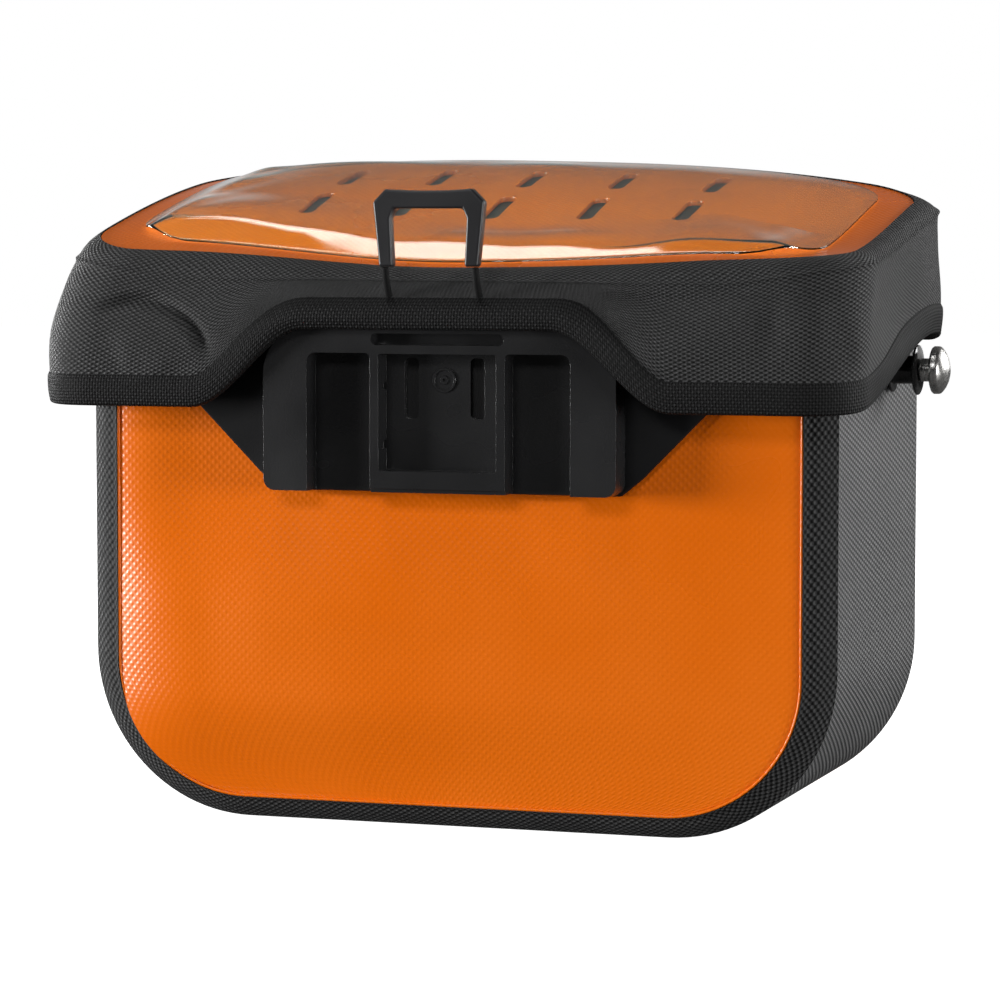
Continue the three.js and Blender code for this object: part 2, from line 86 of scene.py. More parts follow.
# outlines seen from above: the lid's fold and hem, the orange top, its board and the film
FOLD = dict(half_x=131.5, front=-68.0, rear=66.0, radius=24.0)
HEM = dict(half_x=133.2, front=-77.0, rear=68.0, radius=20.0)
CROWN = dict(half_x=124.0, front=-64.0, rear=60.0, radius=21.0)
BOARD = dict(half_x=118.0, front=-58.0, rear=54.0, radius=15.0)
FILM = dict(half_x=113.5, front=-60.0, rear=54.0, radius=22.0, bow=8.0)
FOLD_FRONT_Z = 171.2
FOLD_RISE = 22.1
FOLD_END_RISE = 4.5
CROWN_FRONT_Z = 174.8
CROWN_RIGHT_DIP = 2.6
CROWN_REAR_Z = 210.0
CROWN_REAR_DROP = 8.2
CROWN_BEND = 1.45
BORDER_PUFF = 0.9
BAND_PUFF = 0.63
SKIRT_THICKNESS = 2.8
SKIRT_PUFF = 1.5
FOLD_RIDGE = 0.7  # the sewn fold stands out a little
HEM_SHIFT = -2.2  # the soft lid leans a little to the left
HEM_FRONT_Z = 132.2
HEM_REAR_Z = 154.0
HEM_CORNER_DROP = 2.5
HEM_SIDE_START = -75.0  # y where the hem begins to climb along the bag's ends
HEM_SIDE_END = 43.0
ARCH_RISE = 24.7
ARCH_INNER = 40.0
ARCH_OUTER = 78.0
BINDING_HEIGHT = 9.2
BINDING_PROUD = 0.6
FILM_THICKNESS = 0.7
FACET_SLOPE = 0.62  # rise of the film's front facet, over that of the orange top under it
FACET_SLOPE_LEFT = 0.73
SLOT = dict(width=5.6, length=23.0, pitch=31.5, columns=5, rows_y=(-12.0, 22.0))
HINGE_Z = 151.5
FLAP_THICKNESS = 1.0
BOARD_THICKNESS = 1.4
WELT_RADIUS = 0.5
WORDS = {-1: "left", 1: "right"}

# pitch of the threads along and across each fabric
ORANGE_PITCH = (1.36, 1.39)
BLACK_PITCH = (1.36, 0.80)
GREY_PITCH = (0.85, 2.3)
TAPE_PITCH = (0.95, 1.0)
CORD_PITCH = (0.45, 0.45)
SCRATCH_DEPTH = 0.008  # of the fine lines on the metal pieces

# ------------------------------------------------------------------ camera
CAMERA_YAW = math.radians(18.519)
CAMERA_PITCH = math.radians(4.063)
CAMERA_PLACE = (374.05, -1128.22, 183.42)
CAMERA_LENS = 131.24
SENSOR = 36.0

# brightness of the studio before and behind the bag, its rear horizon, and the floor
WORLD_FRONT = 0.01
WORLD_REAR = 0.15
HORIZON = 0.6
FLOOR_GLOW = 0.96
FLOOR_BOUNCE = 0.12


def metres(points):
    """Drawing millimetres to the frame's metres."""
    return (np.asarray(points, float) + np.array([0.0, middle_y, 0.0])) / 1000


def add_camera():
    camera = bpy.data.cameras.new("camera")
    camera.lens = CAMERA_LENS
    camera.sensor_width = SENSOR
    camera.clip_end = 50
    thing = bpy.data.objects.new("camera", camera)
    bpy.context.scene.collection.objects.link(thing)
    thing.location = metres(CAMERA_PLACE)
    thing.rotation_euler = (math.radians(90) - CAMERA_PITCH, 0, CAMERA_YAW)
    bpy.context.scene.camera = thing


# ------------------------------------------------------------------ node graphs
class Graph:
    """The nodes of a material or world, with short calls for the ones used over and over."""

    def __init__(self, owner):
        owner.use_nodes = True
        self.owner = owner
        self.nodes = owner.node_tree.nodes
        self.links = owner.node_tree.links
        self.shader = self.nodes.get("Principled BSDF")

    def feed(self, socket, value):
        if isinstance(value, bpy.types.NodeSocket):
            self.links.new(value, socket)
        elif hasattr(value, "__len__") and len(value) == 3 and socket.type == "RGBA":
            socket.default_value = (*value, 1)
        else:
            socket.default_value = value

    def add(self, kind, *values):
        """New node whose first inputs get the values."""
        node = self.nodes.new(kind)
        for socket, value in zip(node.inputs, values):
            self.feed(socket, value)
        return node

    def math(self, operation, a, b=0.0):
        node = self.add("ShaderNodeMath", a, b)
        node.operation = operation
        return node.outputs[0]

    def ramp(self, value, low, high, out_low=0.0, out_high=1.0, smooth=False):
        node = self.add("ShaderNodeMapRange", value, low, high, out_low, out_high)
        if smooth:
            node.interpolation_type = "SMOOTHSTEP"
        return node.outputs[0]

    def mix(self, share, a, b):
        node = self.nodes.new("ShaderNodeMix")
        node.data_type = "RGBA"
        self.feed(node.inputs[0], share)
        self.feed(node.inputs[6], a)
        self.feed(node.inputs[7], b)
        return node.outputs[2]

    def place(self):
        """Object coordinates, in metres."""
        return self.nodes.new("ShaderNodeTexCoord").outputs["Object"]

    def weave_map(self):
        """The fabric's own coordinates, in millimetres along and across it."""
        node = self.nodes.new("ShaderNodeUVMap")
        node.uv_map = "weave"
        return node.outputs["UV"]

    def noise(self, vector, scale, detail=2.0, roughness=0.5):
        node = self.nodes.new("ShaderNodeTexNoise")
        self.feed(node.inputs["Vector"], vector)
        node.inputs["Scale"].default_value = scale
        node.inputs["Detail"].default_value = detail
        node.inputs["Roughness"].default_value = roughness
        return node.outputs["Fac"]

    def split(self, vector):
        return self.add("ShaderNodeSeparateXYZ", vector).outputs

    def bump(self, height, distance, strength=1.0):
        """Relief of a height, in metres, on the shader's normal."""
        node = self.nodes.new("ShaderNodeBump")
        self.feed(node.inputs["Height"], height)
        node.inputs["Distance"].default_value = distance
        node.inputs["Strength"].default_value = strength
        self.set(Normal=node.outputs["Normal"])

    def set(self, **inputs):
        for name, value in inputs.items():
            self.feed(self.shader.inputs[name.replace("_", " ")], value)
        return self.owner

    def seen(self, by_camera, by_others):
        """Shader that is one thing to the camera and another to every other ray."""
        path = self.nodes.new("ShaderNodeLightPath")
        share = path.outputs["Is Camera Ray"]
        return self.add("ShaderNodeMixShader", share, by_others, by_camera).outputs[0]


def material_graph(name):
    return Graph(bpy.data.materials.new(name))


# ------------------------------------------------------------------ stage and lights
def add_floor():
    """Pale seamless floor: white to the camera except where the bag shades it."""
    side = 6.0
    mesh = bpy.data.meshes.new("floor")
    corners = [(-side, -side, 0), (side, -side, 0), (side, side, 0), (-side, side, 0)]
    mesh.from_pydata(corners, [], [(0, 1, 2, 3)])
    floor = bpy.data.objects.new("floor", mesh)
    bpy.context.scene.collection.objects.link(floor)
    floor.location.z = -0.0003  # just clear of the bag's bottom
    graph = material_graph("floor_white")
    graph.set(Base_Color=(0.9, 0.9, 0.9), Roughness=0.9, Specular_IOR_Level=0.0)
    glow = graph.nodes.new("ShaderNodeEmission")
    glow.inputs["Strength"].default_value = FLOOR_GLOW
    both = graph.add("ShaderNodeAddShader", graph.shader.outputs[0], glow.outputs[0])
    bounce = graph.add("ShaderNodeBsdfDiffuse", (FLOOR_BOUNCE,) * 3)
    surface = graph.seen(both.outputs[0], bounce.outputs[0])
    graph.links.new(surface, graph.nodes["Material Output"].inputs["Surface"])
    mesh.materials.append(graph.owner)


def add_light(name, place, aim, size, power):
    """Soft box: place and aim in metres, size (width, height) in metres, power in watts."""
    light = bpy.data.lights.new(name, "AREA")
    light.shape = "RECTANGLE"
    light.size, light.size_y = size
    light.energy = power
    thing = bpy.data.objects.new(name, light)
    bpy.context.scene.collection.objects.link(thing)
    thing.location = place
    direction = Vector(aim) - Vector(place)
    thing.rotation_euler = direction.to_track_quat("-Z", "Y").to_euler()


def add_world():
    """White backdrop for the camera; the object sees a dim studio with a bright rear horizon."""
    world = bpy.data.worlds.new("studio")
    bpy.context.scene.world = world
    graph = Graph(world)
    backdrop = graph.nodes["Background"]
    backdrop.inputs["Color"].default_value = (1, 1, 1, 1)
    backdrop.inputs["Strength"].default_value = 1.0
    direction = graph.nodes.new("ShaderNodeTexCoord").outputs["Generated"]
    _, ahead, up = graph.split(direction)
    room = graph.ramp(ahead, -0.25, 0.75, WORLD_FRONT, WORLD_REAR)
    rear = graph.ramp(ahead, 0.3, 0.8, 0.0, HORIZON)
    low = graph.ramp(up, 0.12, 0.36, 1.0, 0.0)
    strength = graph.math("ADD", room, graph.math("MULTIPLY", rear, low))
    studio = graph.nodes.new("ShaderNodeBackground")
    graph.feed(studio.inputs["Strength"], strength)
    surface = graph.seen(backdrop.outputs[0], studio.outputs[0])
    graph.links.new(surface, graph.nodes["World Output"].inputs["Surface"])


def add_lights():
    target = (0, 0, 0.1)
    add_light("key_front", (-0.15, -1.45, 0.85), target, (0.6, 0.3), 6)
    add_light("overhead", (-0.34, -0.20, 1.60), (0, 0.0, 0.2), (1.5, 0.27), 8.2)
    add_light("left_strip", (-1.30, -0.55, 0.17), target, (0.45, 0.32), 29)
    add_light("right_front", (1.35, -0.50, 0.17), target, (0.5, 0.32), 15)
    add_light("rear_right", (1.25, 1.1, 0.55), target, (0.9, 0.7), 18)
    add_light("rear_left", (-1.5, 0.75, 0.3), target, (0.6, 0.5), 12)


# ------------------------------------------------------------------ materials
def weave_height(graph, pitch, ribs):
    """Height of a plain weave from 0 to 1: crowns and hollows lie like a chessboard's squares."""
    uv = graph.split(graph.weave_map())
    wander = graph.ramp(graph.noise(graph.place(), 30.0, 1.0), 0.3, 0.7, -0.35, 0.35)
    along = graph.math("ADD", graph.math("MULTIPLY", uv[0], math.pi / pitch[0]), wander)
    across = graph.math("SUBTRACT", graph.math("MULTIPLY", uv[1], math.pi / pitch[1]), wander)
    a = graph.math("COSINE", along)
    b = graph.math("COSINE", across)
    chess = graph.math("MULTIPLY", graph.math("MULTIPLY", a, b), 0.5 - ribs)
    squares = graph.math("ADD", graph.math("MULTIPLY", a, a), graph.math("MULTIPLY", b, b))
    rib = graph.math("MULTIPLY", graph.math("SUBTRACT", squares, 1.0), ribs)
    return graph.math("ADD", graph.math("ADD", chess, rib), 0.5)


def woven(name, thread, hollow_shade, pitch, depth, roughness, specular=0.3, ribs=0.06, sheen=0.0):
    """Woven fabric: the thread and hollow greys are linear, pitch and depth millimetres. The hollows'
    dark grey is painted shade.
    """
    graph = material_graph(name)
    height = weave_height(graph, pitch, ribs)
    # painted shade: the weave's hollows take the dark hollow grey, its crowns the thread grey
    hollow_shade_mix = graph.ramp(height, 0.22, 0.72, smooth=True)
    cloud = graph.noise(graph.place(), 22.0, 3.0)
    fibre = graph.noise(graph.place(), 1500.0, 1.0)
    shade = graph.ramp(cloud, 0.3, 0.7, 0.85, 1.15)
    grit = graph.ramp(fibre, 0.25, 0.75, 0.75, 1.3)
    both = graph.math("MULTIPLY", shade, grit)
    colour = graph.mix(hollow_shade_mix, (hollow_shade,) * 3, (thread, thread, thread * 1.01))
    tinted = graph.nodes.new("ShaderNodeVectorMath")
    tinted.operation = "SCALE"
    graph.links.new(colour, tinted.inputs[0])
    graph.links.new(both, tinted.inputs["Scale"])
    rough = graph.ramp(cloud, 0.3, 0.7, roughness - 0.05, roughness + 0.05)
    graph.bump(height, depth / 1000)
    graph.set(Base_Color=tinted.outputs[0], Roughness=rough, Specular_IOR_Level=specular)
    return graph.set(Sheen_Weight=sheen, Sheen_Roughness=0.4)


def coated(name, colour, deep, pitch, depth, roughness):
    """Smooth coating over a weave: the threads show as a shallow emboss, with a painted highlight on
    their crowns.
    """
    graph = material_graph(name)
    height = weave_height(graph, pitch, 0.16)
    cloud = graph.noise(graph.place(), 14.0, 3.0)
    # painted highlight: the weave's crowns are mixed a quarter of the way toward the plain colour
    crown = graph.ramp(height, 0.2, 0.7, smooth=True)
    tone = graph.mix(graph.ramp(cloud, 0.2, 0.8, smooth=True), deep, colour)
    shaded = graph.mix(graph.math("MULTIPLY", crown, 0.25), tone, colour)
    rough = graph.ramp(cloud, 0.1, 0.9, roughness - 0.08, roughness + 0.08, smooth=True)
    graph.bump(height, depth / 1000)
    return graph.set(Base_Color=shaded, Roughness=rough, Specular_IOR_Level=0.34)


def moulded(name, colour, grain, roughness, specular=0.5, depth=0.04):
    """Injection-moulded plastic with a spark-eroded grain; grain is its size in millimetres."""
    graph = material_graph(name)
    fine = graph.noise(graph.place(), 1000 / grain, 2.0, 0.6)
    broad = graph.noise(graph.place(), 25.0, 2.0)
    lighter = tuple(1.5 * c + 0.004 for c in colour)
    tone = graph.mix(graph.ramp(broad, 0.3, 0.75), colour, lighter)
    rough = graph.math("ADD", graph.ramp(broad, 0.3, 0.7, -0.05, 0.05), roughness)
    graph.bump(fine, depth / 1000, 0.8)
    return graph.set(Base_Color=tone, Roughness=rough, Specular_IOR_Level=specular)


def metal(name, colour, roughness):
    """Plated metal with fine scratches round it."""
    graph = material_graph(name)
    stretched = graph.nodes.new("ShaderNodeMapping")
    stretched.inputs["Scale"].default_value = (4.0, 1.0, 1.0)
    graph.links.new(graph.place(), stretched.inputs[0])
    lines = graph.noise(stretched.outputs[0], 600.0, 3.0, 0.7)
    rough = graph.ramp(lines, 0.3, 0.7, roughness * 0.7, roughness * 1.4)
    tone = graph.mix(graph.ramp(lines, 0.35, 0.7), tuple(0.86 * c for c in colour), colour)
    graph.bump(lines, SCRATCH_DEPTH / 1000)
    return graph.set(Base_Color=tone, Roughness=rough, Metallic=1.0)


def clear_film(name):
    """Flexible window film: glossy and slightly tinted, with faint scuffs."""
    graph = material_graph(name)
    scuffs = graph.noise(graph.place(), 40.0, 4.0, 0.65)
    rough = graph.ramp(scuffs, 0.5, 0.75, 0.02, 0.10)
    tint = (0.78, 0.96, 0.88)
    return graph.set(Base_Color=tint, Roughness=rough, IOR=1.55, Transmission_Weight=1.0)


materials = {}


def make_materials():
    orange = dict(colour=(0.72, 0.140, 0.0006), deep=(0.67, 0.120, 0.0004))
    # the second grey of each woven fabric is the painted shade in the hollows of its weave
    materials.update(
        orange=coated("orange_pvc", **orange, pitch=ORANGE_PITCH, depth=0.115, roughness=0.29),
        black=woven("black_weave", 0.046, 0.0008, BLACK_PITCH, 0.45, 0.6, 0.16, sheen=0.04),
        grey=woven("grey_weave", 0.115, 0.004, GREY_PITCH, 0.40, 0.55, specular=0.25),
        tape=woven("binding_tape", 0.013, 0.0004, TAPE_PITCH, 0.36, 0.65, 0.1, 0.3),
        housing=moulded("housing_plastic", (0.0105, 0.0105, 0.011), 0.45, 0.27, 0.42, depth=0.07),
        plate=moulded("plate_plastic", (0.005, 0.005, 0.0055), 0.5, 0.40, 0.2),
        grip=moulded("grip_plastic", (0.009, 0.009, 0.010), 0.6, 0.40, 0.32, depth=0.02),
        gloss=moulded("gloss_plastic", (0.004, 0.004, 0.004), 0.8, 0.16, depth=0.006),
        board=moulded("board_plastic", (0.008, 0.008, 0.008), 1.2, 0.55, depth=0.03),
        steel=metal("dark_nickel", (0.60, 0.59, 0.57), 0.27),
        magnet=metal("magnet_nickel", (0.66, 0.65, 0.62), 0.24),
        screw=metal("screw_steel", (0.42, 0.42, 0.43), 0.3),
        film=clear_film("window_film"),
        cord=woven("braided_cord", 0.008, 0.001, CORD_PITCH, 0.1, 0.7, 0.15),
    )


# ------------------------------------------------------------------ mesh tools
def lerp(a, b, t):
    return a + (b - a) * t


def smoothstep(t):
    t = np.clip(t, 0.0, 1.0)
    return t * t * (3 - 2 * t)


def bell(distance, width):
    """Smooth bump of height 1 that is gone beyond the width."""
    return smoothstep(1 - np.abs(distance) / width)


def shade_by_angle(mesh, angle):
    """Smooth shading, broken at edges sharper than the angle in degrees."""
    mesh.shade_smooth()
    mesh.set_sharp_from_angle(angle=math.radians(angle))


def new_object(name, points, faces, material, uvs=None, sharp=40.0):
    """points in drawing millimetres; uvs holds one (u, v) in millimetres per face corner."""
    mesh = bpy.data.meshes.new(name)
    mesh.from_pydata([tuple(p) for p in metres(points)], [], faces)
    mesh.materials.append(materials[material])
    if uvs is not None:
        layer = mesh.uv_layers.new(name="weave")
        layer.data.foreach_set("uv", np.asarray(uvs, np.float32).ravel())
    mesh.validate()
    shade_by_angle(mesh, sharp)
    thing = bpy.data.objects.new(name, mesh)
    bpy.context.scene.collection.objects.link(thing)
    return thing


def lengths(points, closed=False):
    """Running length along a row of points, and back to the first one if it is closed."""
    if closed:
        points = np.vstack([points, points[:1]])
    steps = np.linalg.norm(np.diff(points, axis=0), axis=1)
    return np.concatenate([[0.0], np.cumsum(steps)])


def quads(grid, down, along, flip):
    """Faces over a grid of points and their weave coordinates.

    down and along are running lengths. One with an entry more than the grid wraps round.
    """
    rows, columns = grid.shape[:2]
    faces = []
    uvs = []
    for i in range(len(down) - 1):
        for j in range(len(along) - 1):
            corners = [(i, j), (i, j + 1), (i + 1, j + 1), (i + 1, j)]
            if flip:
                corners.reverse()
            faces.append([(r % rows) * columns + c % columns for r, c in corners])
            uvs += [(along[c], down[r]) for r, c in corners]
    return faces, uvs


def looped(name, grid, material, sharp, ends=False):
    """Rows of points that are each a closed loop. The rows wrap too, or form a tube with ends."""
    rows, columns = grid.shape[:2]
    down = lengths(grid[:, columns // 2], not ends)
    faces, uvs = quads(grid, down, lengths(grid[rows // 2], True), ends)
    if ends:
        for row, order in ((0, 1), (rows - 1, -1)):
            faces.append([row * columns + j for j in range(columns)][::order])
            uvs += [(0.0, 0.0)] * columns
    return new_object(name, grid.reshape(-1, 3), faces, material, uvs, sharp)


def solid_strip(name, grid, material, flip=False, sharp=50.0):
    """Closed sheet: the rows run over the outer face and back over the inner face."""
    rows, columns = grid.shape[:2]
    down = lengths(grid[:, columns // 2], True)
    faces, uvs = quads(grid, down, lengths(grid[rows // 4]), flip)
    for i in range(rows // 2 - 1):
        for column, turn in ((0, 1), (columns - 1, -1)):
            corners = [i, i + 1, rows - 2 - i, rows - 1 - i][:: turn * (-1 if flip else 1)]
            faces.append([r * columns + column for r in corners])
            uvs += [(0.0, down[r]) for r in corners]
    return new_object(name, grid.reshape(-1, 3), faces, material, uvs, sharp)


def swept(name, grid, material, flip=False):
    """Closed section (rows wrap) swept along open columns, with flat ends."""
    rows, columns = grid.shape[:2]
    down = lengths(grid[:, columns // 2], True)
    faces, uvs = quads(grid, down, lengths(grid[0]), flip)
    for column, turn in ((0, 1), (columns - 1, -1)):
        order = list(range(rows))[:: turn * (-1 if flip else 1)]
        faces.append([r * columns + column for r in order])
        uvs += [(0.0, down[r]) for r in order]
    return new_object(name, grid.reshape(-1, 3), faces, material, uvs, 50.0)


def plan_loop(outline, grow=0.0):
    """Rounded rectangle seen from above: points (n, 2) and outward directions (n, 2)."""
    corner = 14
    radius = outline["radius"]
    reach = outline["half_x"] - radius
    centres = [
        (reach, outline["rear"] - radius),
        (-reach, outline["rear"] - radius),
        (-reach, outline["front"] + radius),
        (reach, outline["front"] + radius),
    ]
    points = []
    normals = []
    for quarter, (cx, cy) in enumerate(centres):
        for k in range(corner + 1):
            angle = (quarter + k / corner) * math.pi / 2
            n = (math.cos(angle), math.sin(angle))
            points.append((cx + (radius + grow) * n[0], cy + (radius + grow) * n[1]))
            normals.append(n)
        start = points[-1]
        nx, ny = centres[(quarter + 1) % 4]
        end = (nx + (radius + grow) * n[0], ny + (radius + grow) * n[1])
        steps = 56 if quarter % 2 else 110  # along the ends, or along the front and the rear
        for k in range(1, steps):
            points.append(tuple(lerp(np.array(start), np.array(end), k / steps)))
            normals.append(n)
    return np.array(points), np.array(normals)


def apply_modifiers(thing):
    """Leaves the evaluated mesh on the object and no modifiers."""
    bpy.context.view_layer.update()
    graph = bpy.context.evaluated_depsgraph_get()
    made = bpy.data.meshes.new_from_object(thing.evaluated_get(graph), depsgraph=graph)
    thing.modifiers.clear()
    thing.data = made


def bevel_edges(thing, width):
    """Rounds the sharp edges of a hard piece by width millimetres."""
    bevel = thing.modifiers.new("bevel", "BEVEL")
    bevel.width = width / 1000
    bevel.segments = 3
    bevel.limit_method = "ANGLE"
    bevel.angle_limit = math.radians(30)
    bevel.use_clamp_overlap = True
    apply_modifiers(thing)
    shade_by_angle(thing.data, 35)
    flat = thing.modifiers.new("flat_faces", "WEIGHTED_NORMAL")
    flat.keep_sharp = True
    flat.weight = 100
    apply_modifiers(thing)


def prism(name, outline, y0, y1, material="housing"):
    """Outline of [x, z] points, made solid from y0 to y1."""
    count = len(outline)
    points = [(x, y, z) for y in (y0, y1) for x, z in outline]
    faces = [list(range(count)), list(range(2 * count - 1, count - 1, -1))]
    faces += [(j, j + count, (j + 1) % count + count, (j + 1) % count) for j in range(count)]
    thing = new_object(name, points, faces, material)
    tidy = bmesh.new()
    tidy.from_mesh(thing.data)
    bmesh.ops.recalc_face_normals(tidy, faces=tidy.faces)
    tidy.to_mesh(thing.data)
    tidy.free()
    return thing


def outline_arc(cx, cz, radius, start, end, steps):
    """Points of an arc between two angles in degrees."""
    points = []
    for k in range(steps + 1):
        angle = math.radians(lerp(start, end, k / steps))
        points.append((cx + radius * math.cos(angle), cz + radius * math.sin(angle)))
    return points


def rounded_box(x0, x1, z0, z1, radii):
    """Outline with its own radius at each corner: low left, low right, high right, high left."""
    corners = [
        (x0, z0, 1, 1, 180),
        (x1, z0, -1, 1, 270),
        (x1, z1, -1, -1, 0),
        (x0, z1, 1, -1, 90),
    ]
    outline = []
    for (x, z, sx, sz, start), r in zip(corners, radii):
        if r > 0:
            outline += outline_arc(x + sx * r, z + sz * r, r, start, start + 90, 5)
        else:
            outline.append((x, z))
    return outline


def cut(thing, tools):
    """Takes the tools out of a piece; they are used up."""
    for tool in tools:
        change = thing.modifiers.new("cut", "BOOLEAN")
        change.operation = "DIFFERENCE"
        change.solver = "EXACT"
        change.object = tool
        apply_modifiers(thing)
        bpy.data.objects.remove(tool)


def circles(profile, steps):
    """Rows of (distance along the axis, across, up) for a profile of (distance, radius)."""
    angles = 2 * math.pi * np.arange(steps) / steps
    rows = []
    for along, radius in profile:
        row = [np.full(steps, along), radius * np.cos(angles), radius * np.sin(angles)]
        rows.append(np.stack(row, 1))
    return np.array(rows)


def turned(name, profile, side, place, material, sharp=35.0):
    """Turned piece along X; profile gives (distance outward from the body's end, radius)."""
    steps = 56
    rows = len(profile)
    grid = circles(profile, steps) + (BODY_HALF, *place)
    grid[..., 0] *= side
    faces, _ = quads(grid, range(rows), range(steps + 1), side < 0)
    for row, order in ((0, -side), (rows - 1, side)):
        faces.append([row * steps + j for j in range(steps)][::order])
    return new_object(name, grid.reshape(-1, 3), faces, material, sharp=sharp)


# ------------------------------------------------------------------ body
def rim_z(y):
    """Height of the bag's mouth."""
    return RIM_FRONT_Z + RIM_SLOPE * (y + PANEL_Y)


def u_path(half_width, radius, bottom, top):
    """U-shaped outline seen from the front: down the left side, along, up the right side."""
    bend = 26
    across = 60
    points = []
    for k in range(U_STRAIGHT):
        points.append((-half_width, lerp(top, bottom + radius, k / U_STRAIGHT)))
    for k in range(bend):
        angle = math.pi / 2 * k / bend
        points.append((
            -half_width + radius * (1 - math.cos(angle)),
            bottom + radius * (1 - math.sin(angle)),
        ))
    for k in range(across + 1):
        points.append((lerp(radius - half_width, half_width - radius, k / across), bottom))
    mirrored = [(-x, z) for x, z in points[: U_STRAIGHT + bend]]
    return np.array(points + mirrored[::-1])


def front_swell(x, z):
    """How far the front panel stands out: a soft bulge, a pull-in at the left, a low crease."""
    # flat behind the mount's base plate
    plate = smoothstep((z - 62) / 56) * smoothstep((128 - np.abs(x)) / 44)
    v = (z - PANEL_BOTTOM) / (RIM_FRONT_Z - PANEL_BOTTOM)
    low = smoothstep(v / 0.22) * smoothstep((1.04 - v) / 0.3)
    from_left = np.clip((PANEL_HALF + x) / 30, 0, 1)
    left_roll = 1 - (1 - from_left) ** 2
    right_roll = smoothstep((PANEL_HALF - x) / 60)
    swell = (4.4 * left_roll * smoothstep((95 - x) / 190) + 0.8 * left_roll) * right_roll * low
    left_dent = -1.0 * bell(x + 84 + 12 * (v - 0.5), 22) * bell(v - 0.55, 0.5)
    low_fold = 0.5 * bell(z - 36 - 0.06 * x, 24) * bell(x + 20, 110)
    soft = (left_dent + low_fold) * left_roll * right_roll * low
    return (swell + soft) * (1 - plate) - 0.3 * plate


def back_swell(x, z):
    """How far the back panel stands out; it lies flat under the hinge flap."""
    u = x / PANEL_HALF
    v = (z - PANEL_BOTTOM) / (rim_z(PANEL_Y) - PANEL_BOTTOM)
    edge = (1 - u ** 6) * smoothstep(v / 0.16) * smoothstep((1.02 - v) / 0.3)
    slack = 0.9 * np.sin(x / 31.0 + 0.8) * bell(v - 0.4, 0.5)
    return edge * (2.6 * (1 - 0.35 * u * u) + slack) * smoothstep((HINGE_Z - 18 - z) / 34)


def panel(name, side, swell):
    """Front or back panel: side is -1 front, 1 back."""
    top = rim_z(side * PANEL_Y)
    radius = BODY_CORNER - BORDER_SIDE
    rows, columns = 96, 140
    inner_rows = []
    outer_rows = []
    for i in range(rows):
        share = i / (rows - 1)
        z = PANEL_BOTTOM + (top - PANEL_BOTTOM) * share ** 1.35
        below = max(0.0, PANEL_BOTTOM + radius - z)
        half = PANEL_HALF - radius + math.sqrt(max(radius ** 2 - below ** 2, 0.0))
        x = np.linspace(-half, half, columns)
        out = swell(x, np.full(columns, z))
        y = np.full(columns, PANEL_Y) + np.maximum(out, -0.9)
        outer_rows.append(np.stack([x, side * y, np.full(columns, z)], 1))
        inner_rows.append(np.stack([x, side * (y - FABRIC), np.full(columns, z)], 1))
    grid = np.array(outer_rows + inner_rows[::-1])
    return solid_strip(name, grid, "orange", flip=side > 0)


def border(name, side):
    """Bevelled band of folded fabric between a panel and the gusset."""
    top_outer = rim_z(side * SEAM_Y)
    top_inner = rim_z(side * PANEL_Y)
    outer = u_path(BODY_HALF, BODY_CORNER, 0, top_outer)
    inner = u_path(PANEL_HALF, BODY_CORNER - BORDER_SIDE, PANEL_BOTTOM, top_inner)
    inward = inner - outer
    inward /= np.linalg.norm(inward, axis=1)[:, None]
    rows = []

    def row(share, depth, lift=0.0):
        flat = lerp(outer, inner, share)
        y = lerp(SEAM_Y, PANEL_Y, share) - depth
        flat = flat - inward * lift
        return np.stack([flat[:, 0], np.full(len(flat), side * y), flat[:, 1]], 1)

    for share in np.linspace(0, 1, 12):
        welt = smoothstep((share - 0.86) / 0.14)
        rows.append(row(share, -BORDER_PUFF * math.sin(math.pi * share) - welt))
    rows.append(row(1.0, 0.2, -0.2))
    rows.append(row(1.0, FABRIC))
    rows.append(row(0.5, FABRIC + 0.6))
    rows.append(row(0.05, FABRIC + 0.4))
    grid = np.array(rows)
    return swept(name, grid, "black", side < 0)


def gusset():
    """The side, bottom and other side in one strip of fabric, a little slack between seams."""
    rows = []
    count = 44
    for k in range(count):
        share = k / (count - 1)
        y = lerp(-SEAM_Y + GAP, SEAM_Y - GAP, share)
        path = u_path(BODY_HALF, BODY_CORNER, 0, rim_z(y))
        rows.append(np.stack([path[:, 0], np.full(len(path), y), path[:, 1]], 1))
    outer = np.array(rows)
    straight_up = smoothstep((outer[..., 2] - BODY_CORNER * 0.4) / 60)
    free = np.sin(np.pi * np.linspace(0, 1, count))[:, None]
    wave = 0.5 * np.sin(outer[..., 2] / 24.0 + outer[..., 1] / 30.0)
    sign = np.sign(outer[..., 0])
    outer[..., 0] -= sign * straight_up * free * (0.9 + wave)
    inner_path = u_path(BODY_HALF - FABRIC, BODY_CORNER - FABRIC, FABRIC, 0)
    full = u_path(BODY_HALF, BODY_CORNER, 0, rim_z(0))
    inset = np.stack([inner_path[:, 0] - full[:, 0], inner_path[:, 1] - full[:, 1]], 1)
    inset[:U_STRAIGHT, 1] = 0
    inset[-U_STRAIGHT:, 1] = 0
    inner = outer.copy()
    inner[..., 0] += inset[:, 0]
    inner[..., 2] += inset[:, 1]
    grid = np.concatenate([outer, inner[::-1]])
    return swept("gusset_fabric", grid, "grey")


# ------------------------------------------------------------------ lid
def fold_z(x, y):
    """Height of the fold between the band and the skirt; it turns up at both ends."""
    along = np.clip((y - FOLD["front"]) / (FOLD["rear"] - FOLD["front"]), 0, 1)
    ends = smoothstep((np.abs(x) - 86) / 40)
    return FOLD_FRONT_Z + FOLD_RISE * along ** 1.2 - 0.008 * x + FOLD_END_RISE * ends


